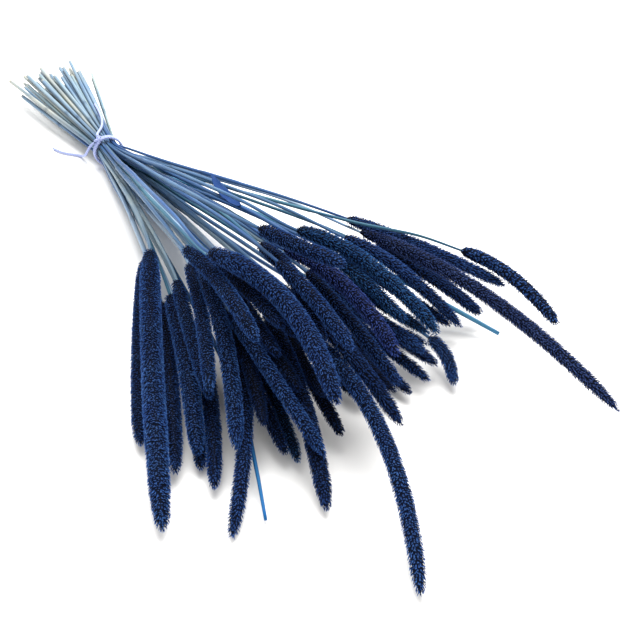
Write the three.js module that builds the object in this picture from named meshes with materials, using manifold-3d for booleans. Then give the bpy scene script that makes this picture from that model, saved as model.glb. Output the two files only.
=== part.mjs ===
// A tied bunch of dried, dyed timothy grass lying on a flat surface, in millimetres with +Z up.
// Each stalk grew in one piece with its spike, so it is one solid. A string tie holds the stalks;
// the spikes fan out towards -Y and the cut ends towards +Y. The origin is on the surface, under
// the middle of the bunch.
import * as THREE from 'three';
import Module from 'manifold-3d';
import { mergeVertices } from 'three/addons/utils/BufferGeometryUtils.js';

const wasm = await Module();
wasm.setup();

// Stalks
const CUT_END_RADIUS = 1.15; // thick lower end of a stalk
const TIED_RADIUS = 0.8; // where the tie presses the stalks together
const FOOT_RADIUS = 0.7; // thin upper end, just under the spike
const SIDES = 6; // flats round a stalk or spike
const GAP = 0.3; // clear space between neighbours
const CUT_REACH = 124; // usual distance from the tie to a cut end
const CUT_REACH_SPREAD = 16; // how much that distance varies either way
const CUT_FAN = 0.24; // sideways spread of the cut ends for each millimetre along
const CUT_STRAY = 7; // how far a cut end strays sideways from its place in the fan
const CUT_TOP = 22; // height of the topmost cut end
const FAN_CENTRE = 6; // the stalks seem to spread from a point this far behind the tie
const TIED_HALF = 5; // stalks run parallel this far on each side of the tie
const PLACE_ROWS = 7; // rows of places tried on each side of the middle of the tie

// Tie
const STRING_RADIUS = 0.8;
const TIE_TURNS = 3; // turns of string side by side
const KNOT_SIZE = [3, 2.4, 1.8]; // half length, half width and half height of the knot
const KNOT_ANGLE = 122; // where the knot sits round the bunch, in degrees from +X
const KNOT_RISE = 0.5; // the knot's middle is this far outside the band
const KNOT_FACETS = [12, 8];
const BAND_FACETS = 28;
const CORD_SIDES = 8;
const CORD_STEP = 3.6; // length of one straight piece of a free tail

// Spikes, from left to right and from the surface up. foot and tip are the two ends of a spike:
// [heading in degrees from -Y, distance from the fan's centre, height]. bow is how far the spike curves
// sideways between them, thick is its width, and via is a point that its stalk passes through.
const SPIKES = [
  { foot: [-8.5, 140, 10], tip: [-14.2, 268, 5], bow: -3, thick: 8.0 },
  { foot: [-8.5, 162, 28], tip: [-13.5, 315, 5], bow: -3, thick: 9.5 },
  { foot: [-9, 185, 12], tip: [-12, 288, 5], bow: 0, thick: 7.0 },
  { foot: [-8, 195, 22], tip: [-10, 284, 7], bow: 1, thick: 8.0 },
  { foot: [-7, 195, 10], tip: [-10, 287, 5], bow: 0, thick: 6.5 },
  { foot: [-6, 205, 12], tip: [-9.5, 300, 5], bow: 2, thick: 6.5 },
  { foot: [-7, 195, 30], tip: [-8, 266, 20], bow: -1, thick: 6.0 },
  { foot: [-5, 195, 38], tip: [-8, 270, 28], bow: 1, thick: 6.0 },
  { foot: [-3.8, 208, 42], tip: [-6.6, 292, 14], bow: 3, thick: 7.0 },
  { foot: [-6, 205, 52], tip: [-4, 272, 48], bow: 3, thick: 6.5 },
  { foot: [-4.5, 225, 60], tip: [0, 303, 32], bow: 12, thick: 8.5 },
  { foot: [-4, 212, 50], tip: [-1, 264, 44], bow: 2, thick: 6.5 },
  { foot: [-3, 205, 44], tip: [0, 266, 38], bow: 2, thick: 5.5 },
  { foot: [2, 218, 54], tip: [1, 280, 38], bow: 5, thick: 7.0 },
  { foot: [-3.5, 200, 40], tip: [-2, 268, 32], bow: 0, thick: 5.5 },
  { foot: [-3, 225, 28], tip: [-9.3, 323, 5], bow: 4, thick: 6.0 },
  { foot: [-3, 215, 30], tip: [-5, 289, 18], bow: 1, thick: 5.5 },
  { foot: [-2.5, 215, 20], tip: [-3.5, 294, 6], bow: -1, thick: 5.5 },
  { foot: [-4, 235, 36], tip: [-2, 308, 14], bow: 0, thick: 5.5 },
  { foot: [-1.5, 220, 14], tip: [-3, 298, 5], bow: 1, thick: 5.5 },
  { foot: [0, 240, 32], tip: [-3, 325, 6], bow: 2, thick: 7.5 },
  { foot: [-1, 215, 34], tip: [-1, 283, 26], bow: 0, thick: 5.5 },
  { foot: [1, 220, 28], tip: [0, 284, 22], bow: 0, thick: 5.0 },
  { foot: [2, 220, 18], tip: [1, 296, 8], bow: 1, thick: 6.0 },
  { foot: [2, 255, 42], tip: [4.7, 306, 12], bow: 2, thick: 6.5 },
  { foot: [1.5, 240, 57], tip: [2.6, 289, 44], bow: 1, thick: 6.0 },
  { foot: [2.5, 255, 30], tip: [-0.8, 372, 4], bow: 10, thick: 6.4 },
  { foot: [1.5, 222, 64], tip: [5.7, 260, 61], bow: 0, thick: 6.5 },
  { foot: [3.3, 228, 54], tip: [5.6, 296, 38], bow: 7, thick: 6.5 },
  { foot: [5.5, 235, 44], tip: [6.4, 296, 22], bow: 0, thick: 5.8 },
  { foot: [15.8, 213, 46], tip: [26.6, 276, 14], bow: 4, thick: 6.2 },
  { via: [14.6, 213, 48], foot: [25.5, 252, 26], tip: [24.6, 307, 9], bow: 5, thick: 7.0 },
  { foot: [16.5, 220, 40], tip: [18.5, 355, 8], bow: 10, thick: 5.8 },
  { foot: [17, 226, 34], tip: [22, 275, 8], bow: 4, thick: 7.0 },
  { foot: [12.5, 225, 46], tip: [19, 273, 8], bow: 5, thick: 6.0 },
  { foot: [14, 215, 30], tip: [18.5, 269, 8], bow: 0, thick: 5.5 },
  { foot: [6, 223, 58], tip: [13, 282, 24], bow: 9, thick: 7.0 },
  { foot: [7.5, 225, 50], tip: [11, 272, 30], bow: 3, thick: 5.5 },
  { foot: [7.5, 225, 42], tip: [13, 276, 20], bow: -1, thick: 5.5 },
  { foot: [14.5, 272, 12], tip: [12.8, 295, 5], bow: 2, thick: 5.8 },
  { foot: [10, 215, 20], tip: [12.7, 284, 8], bow: 1, thick: 6.2 },
  { foot: [7, 225, 38], tip: [11.7, 281, 18], bow: 0, thick: 6.0 },
  { foot: [9, 215, 20], tip: [11.2, 288, 7], bow: 0, thick: 5.6 },
  { foot: [8, 215, 14], tip: [9, 288, 5], bow: 0, thick: 5.6 },
  { foot: [5, 215, 26], tip: [7.3, 287, 10], bow: 0, thick: 5.6 },
  { foot: [4, 200, 12], tip: [5, 280, 5], bow: 0, thick: 6.0 },
  { foot: [0, 190, 20], tip: [-1, 270, 12], bow: 0, thick: 6.0 },
  { foot: [11, 205, 10], tip: [15, 268, 5], bow: 0, thick: 6.0 },
];

// Stalks that have lost their spikes: a point on the way, the bare upper end and the thickness there.
const BARE_STALKS = [
  { via: [17, 225, 24], end: [21.6, 287, 3], thick: 1.9 },
  { via: [-5, 255, 12], end: [-6.9, 319, 2], thick: 1.1 },
];

// How far along its stretch each ring of a solid lies, and how thick the stalk or spike is there. A
// stalk is thickest where its leaf sheaths wrap it.
const STALK_STEPS = [
  [0.12, 1.1],
  [0.3, 1.3],
  [0.55, 1.35],
  [0.8, 1.2],
  [1, 1],
];
const SPIKE_STEPS = [
  [0.025, 0.7],
  [0.12, 1],
  [0.3, 1],
  [0.5, 1],
  [0.7, 0.97],
  [0.88, 0.86],
  [0.97, 0.55],
];
const TIP_THICKNESS = 0.05;

// Routes of the string's two free tails, from the knot.
const LEFT_TAIL = [
  [-8.1, 0.0, 16.5], [-9.5, 0.2, 15.5], [-10.7, 0.8, 14.3], [-11.5, 1.8, 12.8],
  [-12.0, 3.2, 11.0], [-12.3, 5.0, 9.0], [-12.5, 7.2, 7.0], [-12.7, 9.8, 5.1],
  [-12.9, 12.8, 3.4], [-13.2, 15.8, 2.0], [-13.8, 18.6, 1.1], [-15.2, 21.0, 0.9],
  [-17.2, 23.2, 0.9], [-19.6, 25.6, 0.9], [-21.8, 28.4, 0.9], [-23.6, 31.4, 0.9],
  [-25.0, 34.6, 0.9], [-26.2, 38.0, 0.9],
];
const RIGHT_TAIL = [
  [-4.6, 2.8, 19.1], [-4.3, 4.6, 19.1], [-3.7, 6.6, 18.9], [-2.7, 8.9, 18.5],
  [-1.4, 11.4, 18.1], [0.1, 14.2, 17.8], [1.7, 17.2, 17.6], [3.2, 20.6, 17.6],
  [4.5, 24.2, 17.6], [5.6, 28.0, 17.6], [6.5, 32.0, 17.5], [7.2, 36.0, 17.4],
  [7.8, 40.0, 17.3], [8.3, 44.0, 17.3], [8.7, 48.0, 17.3], [9.0, 52.0, 17.4],
  [9.3, 56.0, 17.5],
];

// A leaf blade left on the upper side of the fan: its middle line from tip to base, and how much of
// its full half width it has at each point.
const LEAF_LINE = [
  [8.4, 134, 46], [7.8, 141, 44.4], [7.2, 148, 43.8], [6.7, 156, 44.2], [6.3, 164, 45.3], [6, 172, 46.5],
];
const LEAF_SHARES = [0.42, 0.78, 0.98, 0.98, 0.78, 0.42];
const LEAF_HALF_WIDTH = 2.4;
const LEAF_HALF_THICKNESS = 0.35;

// Settling
const PASSES = 400;
const PUSH = 0.5; // share of an overlap that one pass removes
const STIFFNESS = 0.6; // how strongly a stalk keeps its own smooth shape at first
const SETTLED = 0.02; // the largest overlap that is left alone

const SPIKE_COLOUR = 0x16264d;
const STALK_COLOUR = 0x5d86b8;
const STRING_COLOUR = 0xc9d4f2;
const SPIKE_ROUGHNESS = 0.9;
const STALK_ROUGHNESS = 0.5;
const STRING_ROUGHNESS = 0.7;

const toRadians = THREE.MathUtils.degToRad;

/** A steady number from 0 to 1 for one stalk and one purpose. */
function vary(index, purpose) {
  const wave = Math.sin(index * 12.9898 + purpose * 78.233) * 43758.5453;
  return wave - Math.floor(wave);
}

/** The point at a heading and distance from the fan's centre, and at a height. */
function inFan([heading, reach, height]) {
  const angle = toRadians(heading);
  return new THREE.Vector3(reach * Math.sin(angle), FAN_CENTRE - reach * Math.cos(angle), height);
}

/** The places of a number of stalks packed as tightly as they go, nearest the middle first. */
function packedPlaces(count) {
  const pitch = 2 * TIED_RADIUS + GAP;
  const places = [];
  for (let row = -PLACE_ROWS; row <= PLACE_ROWS; row += 1) {
    for (let column = -PLACE_ROWS; column <= PLACE_ROWS; column += 1) {
      const x = row * pitch * Math.sin(toRadians(60));
      const z = (column + (row % 2 ? 0.5 : 0)) * pitch;
      places.push(new THREE.Vector2(x, z));
    }
  }
  places.sort((a, b) => a.length() - b.length() || a.x - b.x || a.y - b.y);
  return places.slice(0, count);
}

/** Gives each stalk a place in the tie: left ones on the left, and low ones underneath. */
function shareOutPlaces(ends) {
  const places = packedPlaces(ends.length);
  const columns = [...new Set(places.map((p) => p.x.toFixed(3)))].map(Number).sort((a, b) => a - b);
  const waiting = ends.map((end, index) => ({ end, index }));
  waiting.sort((a, b) => a.end[0] - b.end[0]);
  const result = [];
  for (const x of columns) {
    const column = places.filter((p) => Math.abs(p.x - x) < 0.01).sort((a, b) => a.y - b.y);
    const taken = waiting.splice(0, column.length).sort((a, b) => a.end[2] - b.end[2]);
    taken.forEach((stalk, k) => {
      result[stalk.index] = column[k];
    });
  }
  return result;
}

const ENDS = [...SPIKES.map((s) => s.foot), ...BARE_STALKS.map((s) => s.end)];
const PLACES = shareOutPlaces(ENDS);
const PACK_RADIUS = Math.max(...PLACES.map((p) => p.length())) + TIED_RADIUS;
const BAND_INNER = (PACK_RADIUS + GAP) / Math.cos(Math.PI / BAND_FACETS);
const BAND_OUTER = BAND_INNER + 2 * STRING_RADIUS;
const TIE_HEIGHT = BAND_OUTER;

/** Where a stalk was cut, from its place in the tie. */
function cutEnd(place, index) {
  const along = CUT_REACH + CUT_REACH_SPREAD * (2 * vary(index, 1) - 1);
  const rise = (place.y / PACK_RADIUS + 1) / 2;
  const sideways = (place.x / PACK_RADIUS) * CUT_FAN * along + CUT_STRAY * (vary(index, 2) - 0.5);
  return new THREE.Vector3(sideways, along, THREE.MathUtils.lerp(CUT_END_RADIUS, CUT_TOP, rise));
}

/**
 * The points and radii of a stalk from its cut end to the foot of its spike, or to its bare end.
 * onward holds the points it passes through beyond the tie: via, foot and the spike's tip.
 */
function stalkRings(place, index, onward, footRadius) {
  const cut = cutEnd(place, index);
  const tiedBack = new THREE.Vector3(place.x, TIED_HALF, TIE_HEIGHT + place.y);
  const tiedFront = new THREE.Vector3(place.x, -TIED_HALF, TIE_HEIGHT + place.y);
  const rings = [
    { at: cut, radius: CUT_END_RADIUS },
    { at: cut.clone().lerp(tiedBack, 0.5), radius: CUT_END_RADIUS },
    { at: tiedBack, radius: TIED_RADIUS, held: true },
    { at: tiedFront, radius: TIED_RADIUS, held: true },
  ];
  const { via, foot, tip } = onward;
  const points = [tiedBack, tiedFront, via, foot, tip].filter(Boolean);
  const line = points.map((point) => (Array.isArray(point) ? inFan(point) : point));
  const curve = new THREE.CatmullRomCurve3(line, false, 'centripetal');
  const stretch = (via ? 2 : 1) / (points.length - 1);
  const first = 1 / (points.length - 1);
  for (const [step, share] of STALK_STEPS) {
    const radius = share * THREE.MathUtils.lerp(TIED_RADIUS, footRadius, step);
    rings.push({ at: curve.getPoint(first + step * stretch), radius });
  }
  return rings;
}

/** Adds a spike's rings after its stalk's: an arch from foot to tip that also bows sideways. */
function spikeRings(rings, { foot, tip, bow, thick }) {
  const start = inFan(foot);
  const end = inFan(tip);
  const before = rings[rings.length - 2].at;
  const length = start.distanceTo(end);
  const rising = start.clone().sub(before).normalize();
  const across = new THREE.Vector3(start.y - end.y, end.x - start.x, 0).normalize();
  const lean = start.clone().addScaledVector(rising, length / 3);
  const middle = start.clone().lerp(end, 0.5);
  const bend = lean.lerp(middle, 0.5).addScaledVector(across, 2 * bow);
  const curve = new THREE.QuadraticBezierCurve3(start, bend, end);
  for (const [step, share] of SPIKE_STEPS) {
    rings.push({ at: curve.getPointAt(step), radius: (share * thick) / 2 });
  }
  rings.push({ at: curve.getPointAt(1), radius: TIP_THICKNESS });
  return rings;
}

/** The closest points of two straight pieces, as shares of each. */
function closestShares(a, b, c, d) {
  const u = b.clone().sub(a);
  const v = d.clone().sub(c);
  const w = a.clone().sub(c);
  const uu = u.dot(u);
  const uv = u.dot(v);
  const vv = v.dot(v);
  const uw = u.dot(w);
  const vw = v.dot(w);
  const spread = uu * vv - uv * uv;
  let s = spread > 1e-9 ? THREE.MathUtils.clamp((uv * vw - vv * uw) / spread, 0, 1) : 0.5;
  const t = THREE.MathUtils.clamp((uv * s + vw) / vv, 0, 1);
  s = THREE.MathUtils.clamp((uv * t - uw) / uu, 0, 1);
  return [s, t];
}

/** The box round one piece of a stalk, widened by its radius. */
function pieceBox(from, to) {
  const reach = Math.max(from.radius, to.radius) + GAP;
  return new THREE.Box3().setFromPoints([from.at, to.at]).expandByScalar(reach);
}

/** Pushes one pair of pieces apart where they are too close, and says by how much they were. */
function partPieces(a, b, c, d) {
  const [s, t] = closestShares(a.at, b.at, c.at, d.at);
  const away = a.at.clone().lerp(b.at, s).sub(c.at.clone().lerp(d.at, t));
  const wanted = THREE.MathUtils.lerp(a.radius, b.radius, s) + THREE.MathUtils.lerp(c.radius, d.radius, t);
  const distance = away.length();
  const overlap = wanted + GAP - distance;
  if (overlap <= 0) return 0;
  const direction = distance > 1e-6 ? away.divideScalar(distance) : new THREE.Vector3(0, 0, 1);
  a.push.addScaledVector(direction, overlap * (1 - s));
  b.push.addScaledVector(direction, overlap * s);
  c.push.addScaledVector(direction, -overlap * (1 - t));
  d.push.addScaledVector(direction, -overlap * t);
  return overlap;
}

/** Moves a stalk by its pushes. stiffness, from 0 to 1, is how well it keeps its own smooth shape. */
function moveStalk(rings, stiffness) {
  const shifts = rings.map((ring) => {
    const shift = ring.at.clone().sub(ring.home);
    return ring.held ? shift : shift.addScaledVector(ring.push, PUSH);
  });
  rings.forEach((ring, k) => {
    if (ring.held) return;
    const before = shifts[k - 1] ?? shifts[k];
    const after = shifts[k + 1] ?? shifts[k];
    const eased = before.clone().add(after).multiplyScalar(0.5);
    ring.at.copy(ring.home).add(shifts[k].clone().lerp(eased, stiffness));
    ring.at.z = Math.max(ring.at.z, ring.radius);
  });
}

/** Pushes two stalks apart wherever their pieces are too close, and gives the largest overlap. */
function partStalks(one, other, oneBoxes, otherBoxes) {
  let worst = 0;
  oneBoxes.forEach((box, m) => otherBoxes.forEach((otherBox, n) => {
    if (!box.intersectsBox(otherBox)) return;
    worst = Math.max(worst, partPieces(one[m], one[m + 1], other[n], other[n + 1]));
  }));
  return worst;
}

/** Lets the stalks find room: each pass parts all that touch, until none does. */
function settle(stalks, fixed) {
  const all = [...stalks, ...fixed];
  stalks.forEach((rings) => rings.forEach((ring) => {
    ring.home = ring.at.clone();
  }));
  for (let pass = 0; pass < PASSES; pass += 1) {
    let worst = 0;
    const boxes = all.map((rings) => rings.slice(1).map((ring, k) => pieceBox(rings[k], ring)));
    all.forEach((rings) => rings.forEach((ring) => {
      ring.push = new THREE.Vector3();
    }));
    for (let i = 0; i < stalks.length; i += 1) {
      for (let j = i + 1; j < all.length; j += 1) {
        worst = Math.max(worst, partStalks(all[i], all[j], boxes[i], boxes[j]));
      }
    }
    if (worst < SETTLED) break;
    const stiffness = STIFFNESS * (1 - pass / PASSES);
    stalks.forEach((rings) => moveStalk(rings, stiffness));
  }
}

/** A closed tube with flat ends. halfSizes holds its half width and half height at each point. */
function tubeSolid(points, halfSizes, sides) {
  const positions = [];
  const indices = [];
  const up = new THREE.Vector3(0, 0, 1);
  points.forEach((point, k) => {
    const ahead = points[Math.min(k + 1, points.length - 1)];
    const behind = points[Math.max(k - 1, 0)];
    const along = ahead.clone().sub(behind).normalize();
    const across = up.clone().cross(along).normalize();
    const upright = along.clone().cross(across);
    const [halfWidth, halfHeight] = halfSizes[k];
    for (let n = 0; n < sides; n += 1) {
      const angle = (2 * Math.PI * n) / sides - Math.PI / 2;
      const corner = point.clone();
      corner.addScaledVector(across, halfWidth * Math.cos(angle));
      corner.addScaledVector(upright, halfHeight * Math.sin(angle));
      positions.push(...corner.toArray());
    }
  });
  for (let k = 0; k + 1 < points.length; k += 1) {
    for (let n = 0; n < sides; n += 1) {
      const a = k * sides + n;
      const b = k * sides + ((n + 1) % sides);
      indices.push(a, b, b + sides, a, b + sides, a + sides);
    }
  }
  const last = (points.length - 1) * sides;
  const startPole = points.length * sides;
  positions.push(...points[0].toArray(), ...points[points.length - 1].toArray());
  for (let n = 0; n < sides; n += 1) {
    const next = (n + 1) % sides;
    indices.push(startPole, next, n, startPole + 1, last + n, last + next);
  }
  const geometry = new THREE.BufferGeometry();
  geometry.setAttribute('position', new THREE.Float32BufferAttribute(positions, 3));
  geometry.setIndex(indices);
  return geometry;
}

/** A named mesh with its own material. */
function piece(name, geometry, color, roughness) {
  const material = new THREE.MeshStandardMaterial({ color, roughness, metalness: 0 });
  const mesh = new THREE.Mesh(geometry, material);
  mesh.name = name;
  return mesh;
}

/** The mesh of one settled stalk, with or without a spike. */
function stalkMesh(name, rings, color, roughness) {
  const points = rings.map((ring) => ring.at);
  const halfSizes = rings.map((ring) => [ring.radius, ring.radius]);
  return piece(name, tubeSolid(points, halfSizes, SIDES), color, roughness);
}

/** A closed geometry as a solid that can be joined to others. */
function toSolid(geometry) {
  const bare = geometry.clone();
  bare.deleteAttribute('normal');
  bare.deleteAttribute('uv');
  const merged = mergeVertices(bare, 1e-4);
  return new wasm.Manifold(new wasm.Mesh({
    numProp: 3,
    vertProperties: Float32Array.from(merged.attributes.position.array),
    triVerts: Uint32Array.from(merged.index.array),
  }));
}

/** The geometry of a joined solid. */
function toGeometry(solid) {
  const { vertProperties, triVerts } = solid.getMesh();
  const geometry = new THREE.BufferGeometry();
  geometry.setAttribute('position', new THREE.BufferAttribute(vertProperties, 3));
  geometry.setIndex(new THREE.BufferAttribute(triVerts, 1));
  return geometry;
}

/** Where the knot's middle is, on top of the band. */
function knotPlace() {
  const angle = toRadians(KNOT_ANGLE);
  const reach = BAND_OUTER + KNOT_RISE;
  return new THREE.Vector3(reach * Math.cos(angle), 0, TIE_HEIGHT + reach * Math.sin(angle));
}

/** The turns of string round the bunch, with their knot. */
function tieBand() {
  const halfBand = TIE_TURNS * STRING_RADIUS;
  const middle = BAND_INNER + STRING_RADIUS;
  const outline = [
    [BAND_INNER, -halfBand + STRING_RADIUS], [middle, -halfBand], [BAND_OUTER, -halfBand + STRING_RADIUS],
    [BAND_OUTER, halfBand - STRING_RADIUS], [middle, halfBand], [BAND_INNER, halfBand - STRING_RADIUS],
  ].map(([x, y]) => new THREE.Vector2(x, y));
  const band = new THREE.LatheGeometry([...outline, outline[0]], BAND_FACETS);
  band.translate(0, 0, TIE_HEIGHT);
  const knot = new THREE.SphereGeometry(1, ...KNOT_FACETS);
  knot.scale(...KNOT_SIZE);
  knot.rotateY(toRadians(90 - KNOT_ANGLE));
  knot.translate(...knotPlace().toArray());
  const solid = toSolid(band).add(toSolid(knot));
  return piece('tie_band', toGeometry(solid), STRING_COLOUR, STRING_ROUGHNESS);
}

/** A free tail of the string along its route. */
function tail(name, route) {
  const curve = new THREE.CatmullRomCurve3(route.map((p) => new THREE.Vector3(...p)));
  const section = new THREE.Shape();
  for (let n = 0; n < CORD_SIDES; n += 1) {
    const angle = (2 * Math.PI * (n + 0.5)) / CORD_SIDES;
    const [x, y] = [STRING_RADIUS * Math.cos(angle), STRING_RADIUS * Math.sin(angle)];
    if (n) section.lineTo(x, y);
    else section.moveTo(x, y);
  }
  const steps = Math.round(curve.getLength() / CORD_STEP);
  const options = { steps, extrudePath: curve, bevelEnabled: false };
  return piece(name, new THREE.ExtrudeGeometry(section, options), STRING_COLOUR, STRING_ROUGHNESS);
}

/** A tail's route as fixed rings, so that the stalks leave room for it. */
function tailRings(route) {
  return route.map((p) => ({ at: new THREE.Vector3(...p), radius: STRING_RADIUS }));
}

/** The leaf blade as fixed rings, so that the stalks leave room for it. */
function leafRings() {
  return LEAF_LINE.map((p) => ({ at: inFan(p), radius: LEAF_HALF_THICKNESS + GAP }));
}

/** The leaf blade, widest in the middle. */
function leafBlade() {
  const halfSizes = LEAF_SHARES.map((share) => [share * LEAF_HALF_WIDTH, LEAF_HALF_THICKNESS]);
  const blade = tubeSolid(LEAF_LINE.map(inFan), halfSizes, SIDES);
  return piece('leaf_blade', blade, STALK_COLOUR, STALK_ROUGHNESS);
}

/** Every stalk's rings, settled so that none touches another. */
function settledStalks() {
  const spiked = SPIKES.map((spike, index) => {
    const rings = stalkRings(PLACES[index], index, spike, FOOT_RADIUS);
    return spikeRings(rings, spike);
  });
  const bare = BARE_STALKS.map(({ via, end, thick }, k) => {
    const index = SPIKES.length + k;
    return stalkRings(PLACES[index], index, { via, foot: end }, thick / 2);
  });
  settle([...spiked, ...bare], [tailRings(LEFT_TAIL), tailRings(RIGHT_TAIL), leafRings()]);
  return { spiked, bare };
}

/** The whole bunch, with its origin on the surface under its middle. */
function bunch() {
  const object = new THREE.Group();
  const { spiked, bare } = settledStalks();
  const number = (k) => String(k + 1).padStart(2, '0');
  spiked.forEach((rings, k) => {
    object.add(stalkMesh(`timothy_stem_${number(k)}`, rings, SPIKE_COLOUR, SPIKE_ROUGHNESS));
  });
  bare.forEach((rings, k) => {
    object.add(stalkMesh(`bare_stem_${number(k)}`, rings, STALK_COLOUR, STALK_ROUGHNESS));
  });
  object.add(leafBlade());
  object.add(tieBand());
  const box = new THREE.Box3().setFromObject(object);
  object.add(tail('tie_tail_left', LEFT_TAIL));
  object.add(tail('tie_tail_right', RIGHT_TAIL));
  const middle = box.getCenter(new THREE.Vector3());
  object.position.set(-middle.x, -middle.y, -box.min.z);
  const shifted = new THREE.Group();
  shifted.add(object);
  return shifted;
}

export default bunch();
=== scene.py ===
"""A tied bunch of dried, dyed timothy grass lying on a pale floor, in metres and in the CAD's frame.

Each grass node of the frame is replaced by two pieces that follow its line: the stalk, and the spike with its
florets and bristles. The string tie, its two free tails and the leaf blade are modelled as well. Named sizes
are in millimetres and named angles in degrees, unless a comment says otherwise.
"""

import math

import bpy
import numpy as np
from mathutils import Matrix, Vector


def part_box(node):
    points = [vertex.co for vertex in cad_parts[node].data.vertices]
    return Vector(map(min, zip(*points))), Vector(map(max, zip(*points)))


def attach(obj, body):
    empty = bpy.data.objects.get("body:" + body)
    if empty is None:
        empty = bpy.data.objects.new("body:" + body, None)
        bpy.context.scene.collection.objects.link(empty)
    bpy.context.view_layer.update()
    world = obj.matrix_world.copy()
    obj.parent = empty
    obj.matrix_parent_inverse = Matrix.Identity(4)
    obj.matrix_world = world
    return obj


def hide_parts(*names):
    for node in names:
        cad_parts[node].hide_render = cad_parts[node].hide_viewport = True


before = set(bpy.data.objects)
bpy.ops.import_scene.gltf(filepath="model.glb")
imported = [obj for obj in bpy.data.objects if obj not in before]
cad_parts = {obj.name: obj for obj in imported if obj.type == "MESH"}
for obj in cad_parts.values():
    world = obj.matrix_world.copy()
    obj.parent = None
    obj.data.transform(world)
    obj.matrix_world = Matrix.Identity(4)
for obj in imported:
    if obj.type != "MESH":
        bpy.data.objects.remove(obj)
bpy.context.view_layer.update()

MM = 0.001

# Camera, placed from the tie's middle: to its left and in front of it
CAMERA_FROM_TIE = (-125.4, -517.4)
CAMERA_HEIGHT = 257.0
CAMERA_TURN = (53.7, 0.0, -28.0)
CAMERA_LENS = 50.6
SENSOR_WIDTH = 36.0

# String
STRING_RADIUS = 0.8
STRING_PLIES = 3
SIDES_PER_PLY = 8
PLY_DEPTH = 0.22  # depth of the grooves between plies, as a share of the radius
STRING_TWIST = 5.5  # length of one full twist
TAIL_STEP = 0.45
TURNS = 3
STEPS_PER_TURN = 150
TURN_WOBBLE = 0.012  # how far the turns stray from a circle, as a share of its radius
KNOT_ANGLE = 122.0  # round the neck, from its right side over the top
KNOT_SCALE = (0.78, 0.56, 0.9)  # round the neck, along it and outward
KNOT_LIFT = 1.1  # of the knot's middle above the turns
KNOT_STRING_RADIUS = 0.72
KNOT_STEPS = 240

# Stalks in the bunch, and the seeds that their random draws start from
SPIKED_STALKS = 48
SPIKED_SEED = 4100
BARE_SEED = 5200

# Rings of a grass node, counted from the cut end
STEM_RINGS = 17
BARE_RINGS = 9
FOOT_RING = 8  # where the spike starts

# Spikes
SPIKE_STEP = 0.5
FLORET_PITCH = 0.89  # between florets, along the spike and round it
FLORET_WIDTH = 0.24  # half the width of its body
FLORET_REACH = (1.9, 3.6)  # its shortest and longest
FLORET_FOOT = 0.73  # where florets start, as a share of the radius
ROW_STAGGER = 0.13  # turn from row to row past half a floret's share, in radians
ROW_MARGINS = (0.15, 0.2)  # from the foot to the first row, and from the last row to the tip
LEAST_ROW = 5  # florets
LEAST_ROW_RADIUS = 0.7
ROW_FULLNESS = 0.9  # of the radius, where the pitch round the spike is measured
SITE_SCATTER = (0.17, 0.2)  # round the spike and along it, as shares of the space between florets
REACH_SCATTER = (0.84, 1.18)  # times a floret's length
WIDTH_SCATTER = (0.85, 1.15)  # times its width
BRISTLE_REACH = 0.15  # bristles reach this far past the radius
TIP_LENGTH = 8.0  # where florets close over the tip
TIP_LEAN = 0.4  # of the usual lean, at the tip
FOOT_LENGTH = 5.0  # where florets spread over the foot
FOOT_LEAN = 30.0  # added at the foot
LEAST_LEAN = 24.0  # the smallest lean that a floret's length is worked out from
CORE_FULLNESS = 0.87  # of the radius
CORE_SIDES = 10
CORE_STEP = 2.0
LEAST_CORE_RADIUS = 0.12
SPIKE_CLEARANCE = 0.1  # over the floor
CORE_SHADE = 0.3  # as a floret's, from dark at 0 to light at 1

# Stalks. Lengths named as shares are shares of the stalk's length.
STALK_SIDES = 9
STALK_STEP = 3.8
STALK_FULLNESS = 1.06  # times the CAD radius
STALK_RIPPLE = 0.06  # of the radius, up and down along the stalk
RIPPLE_TURN = 9  # of the ripple over the whole stalk, in radians
STALK_TIP_RADIUS = 0.6  # inside the spike
JOINT_SHARES = ((0.16, 0.12), (0.5, 0.2))  # least share of each joint, and how much it varies
JOINT_LENGTH = 2.2
JOINT_SWELL = 0.22
SHEATH_SHARE = (0.08, 0.14)  # least length of the sheath past the second joint, and how much it varies
SHEATH_THICKNESS = 0.2
SWAY = 0.25
SWAY_TURNS = (23, 19)  # of the sway sideways and upward over the whole stalk, in radians
TIED_LENGTH = 30.0  # a stalk sways less this near the tie
GRAIN_LENGTH = 60.0  # of stalk to one unit of the streaks' noise
CUT_DEPTH = 1.2
CUT_OPENING = 0.5  # of the radius

# Leaf blade
LEAF_HALF_WIDTH = 2.8
LEAF_STEP = 1.0
LEAF_COLUMNS = 9
LEAF_THICKNESS = 0.16
LEAF_RIB = 0.28  # added along the middle
LEAF_RIB_WIDTH = 0.16  # of the half width
LEAF_FOLD = 0.9  # rise of the edges over the middle
LEAF_WAVE = 0.25  # of the edges, up and down
LEAF_WAVE_TURN = 26  # of the wave over the whole blade, in radians

# Floor and light, in metres
FLOOR_HALF = 4.0
FLOOR_DROP = 0.0002
LIT_POINT_PAST_TIE = 0.2  # towards the spikes
KEY_FROM_LIT_POINT = (0.42, 0.62, 1.3)
KEY_SIZE = 1.4
KEY_WATTS = 45.0


# ---------------------------------------------------------------------------------------------- materials


def new_material(name):
    """An empty node material: the material, its node tree and its Principled shader."""
    material = bpy.data.materials.new(name)
    material.use_nodes = True
    tree = material.node_tree
    tree.nodes.clear()
    out = tree.nodes.new("ShaderNodeOutputMaterial")
    shader = tree.nodes.new("ShaderNodeBsdfPrincipled")
    tree.links.new(shader.outputs["BSDF"], out.inputs["Surface"])
    return material, tree, shader


def node(tree, kind, **settings):
    """A new shader node with its settings."""
    made = tree.nodes.new(kind)
    for key, value in settings.items():
        setattr(made, key, value)
    return made


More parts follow.
